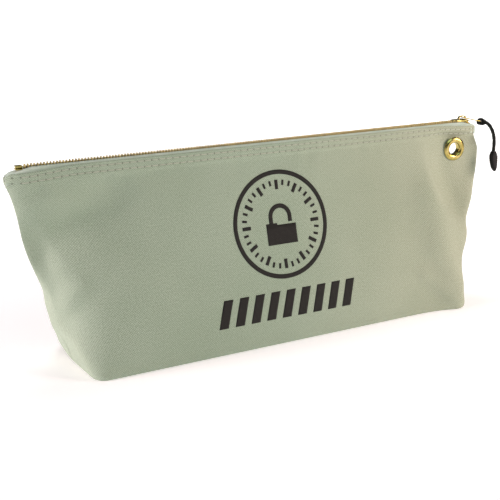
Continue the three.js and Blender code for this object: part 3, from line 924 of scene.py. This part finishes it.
def cloth_run(z):
    """Height along the cloth, from the hem's top down."""
    slope = math.hypot(1, LEAN)
    return np.where(z > SLOPE_TOP, z - HEM_TOP, SLOPE_TOP - HEM_TOP + (z - SLOPE_TOP) * slope)


def set_cloth_map(obj, along, up):
    """Stores each point's place on the flat cloth, in metres, for the weave."""
    mesh = obj.data
    layer = mesh.uv_layers.new(name="cloth")
    corner = np.empty(len(mesh.loops), dtype=np.int32)
    mesh.loops.foreach_get("vertex_index", corner)
    flat = np.stack([np.ravel(along)[corner], np.ravel(up)[corner]], axis=-1) * MM
    layer.data.foreach_set("uv", flat.astype(np.float32).ravel())


def build_panel(name, side):
    pairs, top = panel_profile()
    loop = [outer for outer, _ in pairs] + [top] + [inner for _, inner in reversed(pairs)]
    rows, along, up = [], [], []
    for z, out in loop:
        s = columns(z, side)
        rows.append(cloth(s, z, side, out))
        along.append(s)
        up.append(np.full(len(s), float(cloth_run(z))))
    count = len(rows[0])
    faces = grid_faces(len(rows), count, close_rows=True)
    last = len(rows) - 1
    for i in range(len(pairs) - 1):
        for column, flip in ((0, False), (count - 1, True)):
            cell = [i, i + 1, last - i - 1, last - i]
            face = [k * count + column for k in cell]
            faces.append(tuple(reversed(face)) if flip else tuple(face))
    end = len(pairs) - 1
    for column, flip in ((0, False), (count - 1, True)):
        face = [k * count + column for k in (end, end + 1, last - end)]
        faces.append(tuple(reversed(face)) if flip else tuple(face))
    if side == BACK:
        faces = flipped(faces)
    panel = make_object(name, np.concatenate(rows), faces, canvas)
    set_cloth_map(panel, along, up)
    return panel


def grommet_frame():
    """The grommet's middle and its turn about the vertical, as in CAD."""
    x, z = GROMMET
    slope = (swing_at(x + 2, z) - swing_at(x - 2, z)) / 4
    centre = Vector((x, float(-swing_at(x, z)), float(z - droop_at(x, z))))
    return centre, -math.atan(float(slope))


def grommet_ring(pairs, segments):
    """Rings of points, each at a [radius, forward] of the grommet's axis."""
    centre, turn = grommet_frame()
    spin = Matrix.Rotation(turn, 3, "Z")

    def point(k, radius, forward):
        angle = TURN * k / segments
        spot = Vector((radius * math.cos(angle), -forward, radius * math.sin(angle)))
        return centre + spin @ spot

    return [[point(k, *pair) for k in range(segments)] for pair in pairs]


def lathe(profile, segments):
    """Vertices and faces of a closed [radius, forward] profile turned about the grommet's axis."""
    rings = grommet_ring(profile, segments)
    vertices = [ring[k] for k in range(segments) for ring in rings]
    return vertices, grid_faces(segments, len(profile), close_rows=True, close_columns=True)


def bore(panels, radius, reach=30, segments=48):
    """Cuts the grommet's hole through the panels."""
    rings = grommet_ring([(radius, -reach), (radius, reach)], segments)
    faces = grid_faces(2, segments, close_columns=True)
    faces += [tuple(reversed(range(segments))), tuple(range(segments, 2 * segments))]
    cutter = make_object("cutter", rings[0] + rings[1], faces, canvas)
    for panel in panels:
        modifier = panel.modifiers.new("bore", "BOOLEAN")
        modifier.operation = "DIFFERENCE"
        modifier.solver = "EXACT"
        modifier.object = cutter
        apply_modifiers(panel)
        panel.data.shade_smooth()
    bpy.data.objects.remove(cutter)


def build_base():
    """The base: a woven sheet between the two panels' feet, slightly uneven."""
    near, far = (
        cloth(columns(FOOT_LEVEL, side), FOOT_LEVEL, side, -3.75) for side in (FRONT, BACK)
    )
    steps = 26
    under = []
    for k in range(steps + 1):
        row = lerp(near, far, k / steps)
        row[:, 2] = np.maximum(row[:, 2] - FOOT_LEVEL, 0)
        under.append(row)
    rows = under + [row + (0, 0, CANVAS) for row in reversed(under)]
    faces = grid_faces(len(rows), len(near), close_rows=True)
    base = make_object("base_cloth", np.concatenate(rows), faces, canvas)
    with editing(base) as edit:
        bmesh.ops.remove_doubles(edit, verts=edit.verts, dist=0.1 * MM)
        bmesh.ops.holes_fill(edit, edges=edit.edges, sides=0)
        bmesh.ops.recalc_face_normals(edit, faces=edit.faces)
    spots = np.array([v.co for v in base.data.vertices]) / MM
    set_cloth_map(base, spots[:, 0], spots[:, 1])
    base.data.shade_smooth()
    return base


front_panel = build_panel("front_cloth", FRONT)
back_panel = build_panel("back_cloth", BACK)
bore((front_panel, back_panel), PANEL_HOLE)
base_panel = build_base()
piece(front_panel, "bag", "canvas", "front_panel")
piece(back_panel, "bag", "canvas", "back_panel")
piece(base_panel, "bag", "canvas", "base_panel")


# ---- stitching ----
def stitch(points, radius):
    """One visible stitch: thread that rises from its needle hole and dips into the next."""
    def thickness(part, angle):
        return radius * (0.55 + 0.45 * math.sin(math.pi * part) ** 0.5)

    return tube(points, thickness, around=8)


def hem_row(name, side, level, node):
    """A row of lockstitches along the hem, clear of the grommet's edge."""
    source = random.Random(int(level * 10) + side)
    shapes = []
    first = math.ceil(-STITCH_REACH / STITCH_PITCH)
    for i in range(first, -first):
        start = i * STITCH_PITCH
        run = np.linspace(start + STITCH_GAP, start + STITCH_PITCH - STITCH_GAP, 9)
        part = np.linspace(0, 1, 9)
        arch = 0.42 * np.sin(math.pi * part) ** 0.55 - 0.28
        sway = source.uniform(-0.14, 0.14)
        levels = level + sway * (2 * part - 1) + source.uniform(-0.08, 0.08)
        shapes.append(stitch(cloth(run, levels, side, arch + 0.2), HEM_THREAD))
    row = make_object(name, *merged(shapes), thread)
    return piece(row, "bag", "thread", node)


def seam_row(name, points, node, radius=0.3, pitch=4.0):
    """Running stitches along a line inside the bag."""
    line, length = spline(points, max(4, int(length_of(points) / 0.5)))
    per = max(3, int(round(pitch / (length / (len(line) - 1)))))
    shapes = []
    for start in range(0, len(line) - per, per):
        shapes.append(stitch(line[start : start + per], radius))
    row = make_object(name, *merged(shapes), thread)
    return piece(row, "bag", "thread", node)


def length_of(points):
    return float(np.linalg.norm(np.diff(np.asarray(points, float), axis=0), axis=1).sum())


for face, side in (("front", FRONT), ("back", BACK)):
    for row, level in zip(("upper", "lower"), STITCH_LEVELS):
        hem_row(f"{face}_{row}_stitches", side, level, f"{face}_hem_stitch_{row}")


def seam_line(end, inset):
    """The line where the two panels meet at one end, inside the bag."""
    points = []
    for z in (5, 20, 40, 60, 80, 95, 110, 122, 132):
        s = end * (float(reach_at(end, z, FRONT)) - 0.2)
        points.append(cloth(s, z, FRONT, -inset) + np.array((0, 0.15, 0)))
    return points


def base_line(inset):
    """The line along the base's seam, once round."""
    points = []
    for side in (FRONT, BACK):
        s = columns(1.5, side)[2:-2:6]
        points.extend(cloth(s if side == FRONT else s[::-1], 1.5, side, -inset))
    return points + [points[0]]


seam_row("left_seam_stitches", seam_line(LEFT, 1.6), "left_side_seam_thread")
seam_row("right_seam_stitches", seam_line(RIGHT, 1.6), "right_side_seam_thread")
seam_row("base_seam_stitches", base_line(2.6), "base_seam_thread")


# ---- zipper tapes ----
TAPE_TOP = 163.0
TAPE_END = 227.6
FLANGE_OUT = 5.0
CHAIN = (-213.2, 212.0)
PITCH = 2.54


def tape_edge(x):
    """How far a tape's inner edge stands from the middle: close at the ends, open at the teeth."""
    at_left = lerp(0.35, 3.2, smooth(-214.5, -212.5, x))
    return at_left + (1.2 - 3.2) * smooth(213, 222, x)


def build_tape(name, side, node):
    stations = np.concatenate([
        np.linspace(-TAPE_END, -210, 24), np.linspace(-208.5, 208.5, 240),
        np.linspace(210, TAPE_END, 24),
    ])
    source = random.Random(31 + side)
    sag = np.cumsum([source.uniform(-0.02, 0.02) for _ in stations])
    sag = sag - np.linspace(sag[0], sag[-1], len(sag))
    inner = tape_edge(stations)
    rows = []
    bend = [(math.radians(a), 1.1) for a in (90, 65, 40, 15, 0)]
    bend_in = [(math.radians(a), 0.5) for a in (0, 30, 60, 90)]
    section = [("edge", -0.5, -0.35), ("edge", -0.36, 0.0), ("edge", 0.0, 0.16),
               ("edge", 0.36, 0.02), ("edge", 0.6, -0.04), ("edge", 1.0, 0.0)]
    section += [("bend", math.cos(a) * r, math.sin(a) * r) for a, r in bend]
    section += [("leg", 0.0, level) for level in (160, 157.5, 155.1)]
    section += [("leg", -0.62, level) for level in (155.1, 157.5, 160)]
    section += [("bend", math.cos(a) * r, math.sin(a) * r) for a, r in bend_in]
    section += [("edge", 1.0, -0.62), ("edge", 0.5, -0.66), ("edge", 0.0, -0.85),
                ("edge", -0.36, -0.7)]
    for kind, across, height in section:
        if kind == "edge":
            y = inner + across
            z = TAPE_TOP + height + sag
        elif kind == "bend":
            y = np.full(len(stations), FLANGE_OUT - 1.1 + across)
            z = TAPE_TOP - 1.1 + height + sag * 0.5
        else:
            y = np.full(len(stations), FLANGE_OUT + across)
            z = np.full(len(stations), float(height))
        fall = droop_at(stations, HEM_TOP) * smooth(206, 222, np.abs(stations))
        closing = lerp(1, end_taper(stations, HEM_TOP), smooth(219, 224, np.abs(stations)))
        y = np.maximum(y * closing, 0.1)
        rows.append(np.stack([stations, side * y, z - fall], axis=-1))
    count = len(stations)
    faces = grid_faces(len(rows), count, close_rows=True)
    faces.append(tuple(k * count for k in reversed(range(len(rows)))))
    faces.append(tuple(k * count + count - 1 for k in range(len(rows))))
    if side == FRONT:
        faces = flipped(faces)
    tape = make_object(name, np.concatenate(rows), faces, tape_cloth)
    piece(tape, "bag", "zip_tape", node)
    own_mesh(tape)


# ---- teeth and stops ----
def extruded(outline, low, high, bevel, segments=2):
    """Vertices and faces of a flat outline between two levels, its edges rounded."""
    edit = bmesh.new()
    rim = [edit.verts.new((x, y, low)) for x, y in outline]
    edit.faces.new(rim)
    made = bmesh.ops.extrude_face_region(edit, geom=edit.faces[:])
    top = [v for v in made["geom"] if isinstance(v, bmesh.types.BMVert)]
    bmesh.ops.translate(edit, verts=top, vec=(0, 0, high - low))
    bmesh.ops.recalc_face_normals(edit, faces=edit.faces)
    bmesh.ops.bevel(
        edit, geom=edit.edges[:], offset=bevel, segments=segments, profile=0.6,
        affect="EDGES", clamp_overlap=True,
    )
    edit.verts.index_update()
    vertices = np.array([v.co[:] for v in edit.verts])
    faces = [tuple(v.index for v in face.verts) for face in edit.faces]
    edit.free()
    return vertices, faces


def tooth_shape():
    """One stamped tooth, pointing in -Y from its bead at y = 3: clamping legs, neck and head."""
    outline = [
        (-0.55, 3.05), (-0.62, 2.2), (-0.55, 1.5), (-0.4, 0.9), (-0.46, 0.1), (-0.4, -0.75),
        (0.4, -0.75), (0.46, 0.1), (0.4, 0.9), (0.55, 1.5), (0.62, 2.2), (0.55, 3.05),
    ]
    body = extruded(outline, 161.4, 163.75, 0.16)
    shoulder = [(-0.46, 1.0), (0.46, 1.0), (0.54, 1.9), (0.5, 3.1), (-0.5, 3.1), (-0.54, 1.9)]
    return merged([body, extruded(shoulder, 163.5, 164.6, 0.24, 3)])


def build_teeth(name, side, node):
    vertices, faces = tooth_shape()
    vertices = np.asarray(vertices)
    count = int((CHAIN[1] - CHAIN[0]) / PITCH)
    shapes = []
    source = random.Random(41 + side)
    for i in range(count):
        x = CHAIN[0] + (i + (0.5 if side > 0 else 0)) * PITCH + 0.7
        copy = vertices.copy()
        copy[:, 0] += x + source.uniform(-0.05, 0.05)
        copy[:, 1] *= side
        copy[:, 2] += source.uniform(-0.06, 0.04)
        cells = faces if side > 0 else flipped(faces)
        shapes.append((copy, cells))
    teeth = make_object(name, *merged(shapes), tooth_brass)
    piece(teeth, "bag", "zip_brass", node)
    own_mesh(teeth)


def add_top_stop(name, side, node):
    section = [(0.4, 160.95), (3.4, 160.95), (3.4, 161.7), (1.0, 161.7), (1.0, 163.4), (3.4, 163.4),
               (3.4, 163.95), (0.4, 163.95)]
    vertices, faces = extruded(section, 216.9, 219.1, 0.14)
    turned = np.stack([vertices[:, 2], side * vertices[:, 0], vertices[:, 1]], axis=-1)
    if side < 0:
        faces = flipped(faces)
    stop = make_object(name, turned, faces, brass)
    piece(stop, "bag", "bright_brass", node)
    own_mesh(stop)


def add_bottom_stop():
    """A box clip over both tapes, with two staple legs pressed into its top."""
    left, right, wide = -219.3, -214.0, 2.6
    plate = [(left, -wide), (right, -wide), (right, wide), (left, wide)]
    shapes = [
        extruded(plate, 163.3, 164.2, 0.28, 3),
        extruded(plate, 161.1, 162.0, 0.28, 3),
        extruded([(left, -0.6), (right, -0.6), (right, 0.6), (left, 0.6)], 161.6, 163.7, 0.1),
    ]
    for x in (left + 1.5, right - 1.5):
        bar = [(x - 0.45, -1.7), (x + 0.45, -1.7), (x + 0.45, 1.7), (x - 0.45, 1.7)]
        shapes.append(extruded(bar, 163.9, 164.45, 0.2, 3))
    stop = make_object("bottom_box_stop", *merged(shapes), brass)
    piece(stop, "bag", "bright_brass", "bottom_stop")


build_tape("front_tape_cloth", FRONT, "front_zip_tape")
build_tape("back_tape_cloth", BACK, "back_zip_tape")
build_teeth("front_tooth_row", FRONT, "front_teeth")
build_teeth("back_tooth_row", BACK, "back_teeth")
add_top_stop("front_clip_stop", FRONT, "front_top_stop")
add_top_stop("back_clip_stop", BACK, "back_top_stop")
add_bottom_stop()


# ---- slider and tab ----
def plate_outline(tail, mouth):
    left, right = 200.5, 216.0
    half = [
        (left, tail - 2.2), (left + 0.7, tail - 0.7), (left + 2.4, tail), (left + 7, tail),
        (left + 9, (tail + mouth) / 2), (left + 11, mouth), (right - 2.2, mouth), (right, mouth - 2),
    ]
    return [(x, -y) for x, y in half] + [(x, y) for x, y in reversed(half)]


def add_slider():
    shapes = [
        extruded(plate_outline(4.2, 5.2), 164.2, 165.0, 0.26, 3),
        extruded(plate_outline(3.8, 3.9), 160.2, 161.1, 0.2, 2),
        extruded([(212.6, -0.3), (213.6, -0.9), (215.6, -0.5), (215.6, 0.5), (213.6, 0.9),
                  (212.6, 0.3)], 160.3, 164.9, 0.1),
    ]
    for side in (-1, 1):
        for near, out, low, high in ((3.4, 4.2, 163.3, 164.5), (3.4, 3.8, 160.8, 162.0)):
            near_y, out_y = side * near, side * out
            wall = [(202.1, near_y), (214.4, near_y), (214.4, out_y), (202.1, out_y)]
            shapes.append(extruded(wall if side > 0 else wall[::-1], low, high, 0.15, 2))
    body = make_object("slider_shell", *merged(shapes), brass)
    piece(body, "slider", "bright_brass", "slider_body")


def add_crown():
    """The arched bridge, wider at its two feet."""
    middle = [(-4.0, 165.3), (-4.0, 166.2), (-3.6, 167.2), (-2.6, 167.85), (-1, 168.0), (1, 168.0),
              (2.6, 167.85), (3.6, 167.2), (4.0, 166.2), (4.0, 165.3)]
    line, _ = spline([(PULL_PIVOT[0] + x, 0, z) for x, z in middle], 44)
    ahead = np.gradient(line, axis=0)
    ahead /= np.linalg.norm(ahead, axis=1)[:, None]
    across = np.array((0, 1.0, 0))
    around = 20
    rows = []
    for i, point in enumerate(line):
        part = abs(2 * i / (len(line) - 1) - 1)
        half = 1.15 + 0.35 * float(smooth(0.6, 1, part))
        up = np.cross(across, ahead[i])
        for k in range(around):
            angle = TURN * k / around
            c, n = math.cos(angle), math.sin(angle)
            y = half * math.copysign(abs(c) ** 0.5, c)
            h = 0.4 * math.copysign(abs(n) ** 0.7, n)
            rows.append(point + across * y + up * h)
    crown = make_object("crown_bridge", rows, rod_faces(len(line), around), brass)
    piece(crown, "slider", "bright_brass", "slider_crown")


def tab_eye(radius, centre, count):
    angles = [TURN * k / count for k in range(count)]
    return [(centre + radius * math.cos(a), radius * math.sin(a)) for a in angles]


def add_tab():
    """The stamped pull tab: slotted head, narrow waist, round tip with an eye, and rounded edges."""
    knots = [(-0.45, 2.2), (0.2, 2.8), (6, 2.8), (8, 2.65), (11, 2.0), (14, 1.85), (17, 2.0),
             (20.5, 2.4), (23.4, 2.4), (24.6, 1.7), (25.2, 0.7)]
    side_line, _ = spline([(x, y, 0) for x, y in knots], 44)
    half = [(float(x), float(y)) for x, y, _ in side_line]
    outline = [(x, -y) for x, y in half] + [(x, y) for x, y in reversed(half)]
    edit = bmesh.new()
    loops = [outline, [(0.45, -1.6), (6, -1.6), (6, 1.6), (0.45, 1.6)], tab_eye(1.4, 22.4, 20)]
    edges = []
    for loop in loops:
        rim = [edit.verts.new((x, y, -0.45)) for x, y in loop]
        edges += [edit.edges.new((rim[i], rim[(i + 1) % len(rim)])) for i in range(len(rim))]
    bmesh.ops.triangle_fill(edit, use_beauty=True, use_dissolve=False, edges=edges)
    made = bmesh.ops.extrude_face_region(edit, geom=edit.faces[:])
    top = [v for v in made["geom"] if isinstance(v, bmesh.types.BMVert)]
    bmesh.ops.translate(edit, verts=top, vec=(0, 0, 0.9))
    bmesh.ops.recalc_face_normals(edit, faces=edit.faces)
    rims = [e for e in edit.edges if len(e.link_faces) == 2 and e.calc_face_angle() > 1.2
            and abs(e.verts[0].co.z - e.verts[1].co.z) < 0.01]
    bmesh.ops.bevel(edit, geom=rims, offset=0.2, segments=3, profile=0.6, affect="EDGES",
                    clamp_overlap=True)
    edit.verts.index_update()
    flat = [v.co[:] for v in edit.verts]
    faces = [tuple(v.index for v in face.verts) for face in edit.faces]
    edit.free()
    tab = make_object("tab_plate", [along_tab(*p) for p in flat], faces, brass)
    piece(tab, "pull_tab", "bright_brass", "pull_tab")


add_slider()
add_crown()
add_tab()


# ---- grommet ----
def arc_profile(centre, radius, start, stop, steps):
    """Points of an oval arc, from start to stop in degrees."""
    turns = [math.radians(a) for a in np.linspace(start, stop, steps)]
    return [
        (centre[0] + radius[0] * math.cos(a), centre[1] + radius[1] * math.sin(a)) for a in turns
    ]


def add_grommet():
    """A rolled eyelet through both panels, and the flat washer that it is clenched over."""
    front = 1.8
    eyelet = [(5.9, front), (10.6, front)]
    eyelet += arc_profile((10.3, front + 0.45), (0.7, 0.45), -60, 60, 5)
    eyelet += arc_profile((8.2, front + 0.55), (2.1, 1.3), 40, 140, 12)
    eyelet += [(6.0, front + 1.1), (5.6, front + 0.5), (5.4, front - 0.4), (5.4, -3.0)]
    eyelet += arc_profile((6.5, -3.05), (1.1, 0.55), 180, 360, 10)
    eyelet += [(7.6, -2.85), (6.4, -2.8), (5.9, -2.4)]
    shell = make_object("eyelet_ring", *lathe(eyelet, 96), brass)
    washer = [(6.2, -1.8), (6.2, -2.3), (6.5, -2.5), (10.4, -2.5), (10.85, -2.35), (11, -2.1),
              (10.9, -1.85), (10.6, -1.8)]
    disc = make_object("washer_ring", *lathe(washer, 96), brass)
    for obj in (shell, disc):
        with editing(obj) as edit:
            bmesh.ops.recalc_face_normals(edit, faces=edit.faces)
    piece(shell, "bag", "bright_brass", "grommet_eyelet")
    piece(disc, "bag", "bright_brass", "grommet_washer")


add_grommet()


# ---- print ----
PRINT_LEVEL = 96.0
RING_OUTER = 46.0
RING_STROKE = 3.8
TICKS = 36
BAR_COUNT, BAR_LEFT, BAR_STEP = 9, -71, 15.05
BAR_WIDTH, BAR_SLANT, BAR_LOW, BAR_HIGH = 8.6, 8, -78, -55.5
SLOPE = math.hypot(1, LEAN)


def on_front(x, rise):
    """A place on the front face; rise is measured along the slope from the print's middle."""
    return x, PRINT_LEVEL + rise / SLOPE


def print_patch(points_grid):
    """Ink over a grid of [x, rise] points: a thin film that follows the cloth."""
    grid = np.asarray(points_grid, float)
    rows, count = grid.shape[:2]
    x, z = on_front(grid[..., 0], grid[..., 1])
    flat_x, flat_z = x.ravel(), z.ravel()
    top = cloth(flat_x, flat_z, FRONT, 0.16)
    return top, flat_x, cloth_run(flat_z), rows, count


def add_print():
    films = []

    def film(grid, closed=False):
        top, along, up, rows, count = print_patch(grid)
        films.append((top, along, up, grid_faces(rows, count, close_columns=closed)))

    def annulus(outer, inner, cx, cy, start=0.0, stop=TURN, steps=160):
        closed = stop - start >= TURN - 1e-6
        angles = np.linspace(start, stop, steps, endpoint=not closed)
        rings = np.linspace(outer, inner, 4)
        grid = [[(cx + r * math.cos(a), cy + r * math.sin(a)) for a in angles] for r in rings]
        film(grid, closed)

    def slab(corners, steps=(6, 6)):
        """A four-cornered patch, corners in order round it."""
        a, b, c, d = [np.array(p, float) for p in corners]
        grid = [
            [lerp(lerp(a, b, u), lerp(d, c, u), v) for u in np.linspace(0, 1, steps[0])]
            for v in np.linspace(0, 1, steps[1])
        ]
        film(grid)

    annulus(RING_OUTER, RING_OUTER - RING_STROKE, 0, 0)
    for k in range(TICKS):
        turn = TURN * k / TICKS
        long = k % 3 == 0
        inner, outer, half = (29.5, 37.5, 1.5) if long else (33.0, 37.5, 1.0)
        way = np.array((math.cos(turn), math.sin(turn)))
        side = np.array((-way[1], way[0]))
        slab([way * inner - side * half, way * outer - side * half,
              way * outer + side * half, way * inner + side * half], (6, 3))
    slab([(-14.5, -17), (14.5, -17), (14.5, -0.5), (-14.5, -0.5)], (24, 5))
    slab([(-14.5, -0.5), (-3.6, -0.5), (-3.6, 1.2), (-14.5, 1.2)], (10, 2))
    annulus(11.2, 7.4, 0, 6.2, 0, math.pi, 48)
    for end in (-1, 1):
        slab([(end * 9.3 - 1.9, 1.2), (end * 9.3 + 1.9, 1.2), (end * 9.3 + 1.9, 6.2),
              (end * 9.3 - 1.9, 6.2)], (4, 4))
    for k in range(BAR_COUNT):
        left = BAR_LEFT + k * BAR_STEP
        right = left + BAR_WIDTH
        slab([(left, BAR_LOW), (right, BAR_LOW), (right + BAR_SLANT, BAR_HIGH),
              (left + BAR_SLANT, BAR_HIGH)], (6, 10))
    along, up = (np.concatenate([film_made[k] for film_made in films]) for k in (1, 2))
    shapes = [(top, cells) for top, _, _, cells in films]
    printed = make_object("front_print", *merged(shapes), ink)
    with editing(printed) as edit:
        for face in edit.faces:
            face.normal_update()
            if face.normal.y > 0:
                face.normal_flip()
    set_cloth_map(printed, along, up)
    modifier = printed.modifiers.new("film", "SOLIDIFY")
    modifier.thickness = 0.12 * MM
    modifier.offset = -1
    apply_modifiers(printed)
    printed.data.shade_smooth()
    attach(printed, "bag")


add_print()
